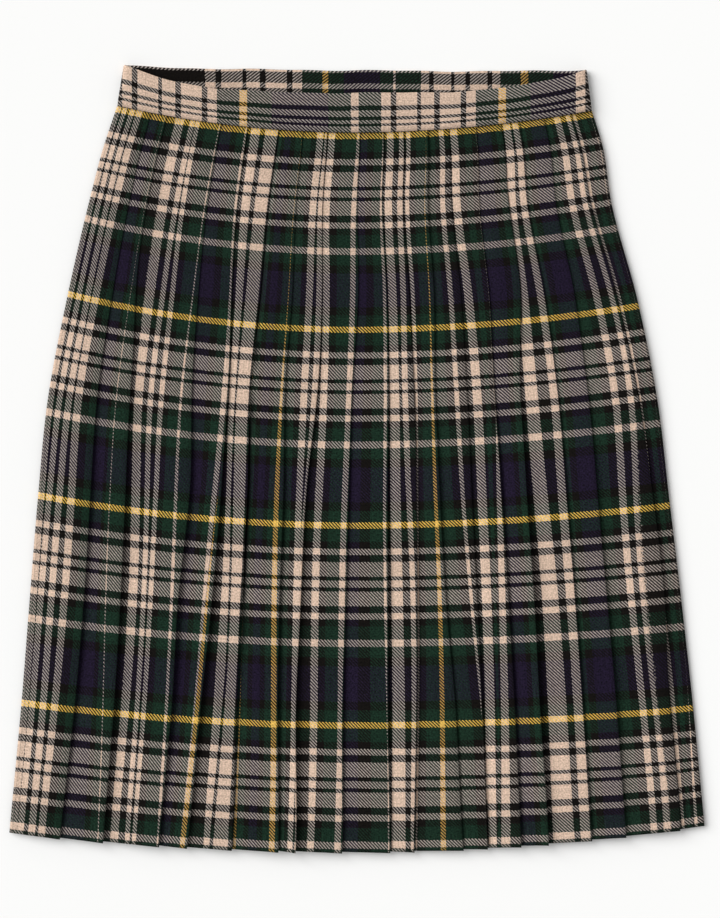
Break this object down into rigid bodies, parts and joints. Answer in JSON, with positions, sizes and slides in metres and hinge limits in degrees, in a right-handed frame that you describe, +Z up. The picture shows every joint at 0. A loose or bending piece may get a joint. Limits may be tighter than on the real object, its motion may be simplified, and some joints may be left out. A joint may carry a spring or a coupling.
{
  "type": "pleated tartan skirt",
  "caption": "Knee-length knife-pleated skirt in a green, navy and cream tartan twill, laid flat, with a plain folded waistband.",
  "frame": {"origin": "on the surface the skirt lies on, under the middle of its overall length and width", "axes": "+Z up from the surface, +Y from the hem to the waist, +X to the right of the front as it is looked down on"},
  "size_m": [0.542, 0.6123, 0.0085],
  "materials": {
    "tartan_twill": "matte 2/2 twill, faintly fuzzy",
    "waistband_twill": "matte 2/2 twill, pressed"
  },
  "bodies": {
    "root": {"back_panel": "tartan_twill", "front_panel": "tartan_twill", "waistband": "waistband_twill"}
  },
  "joints": []
}
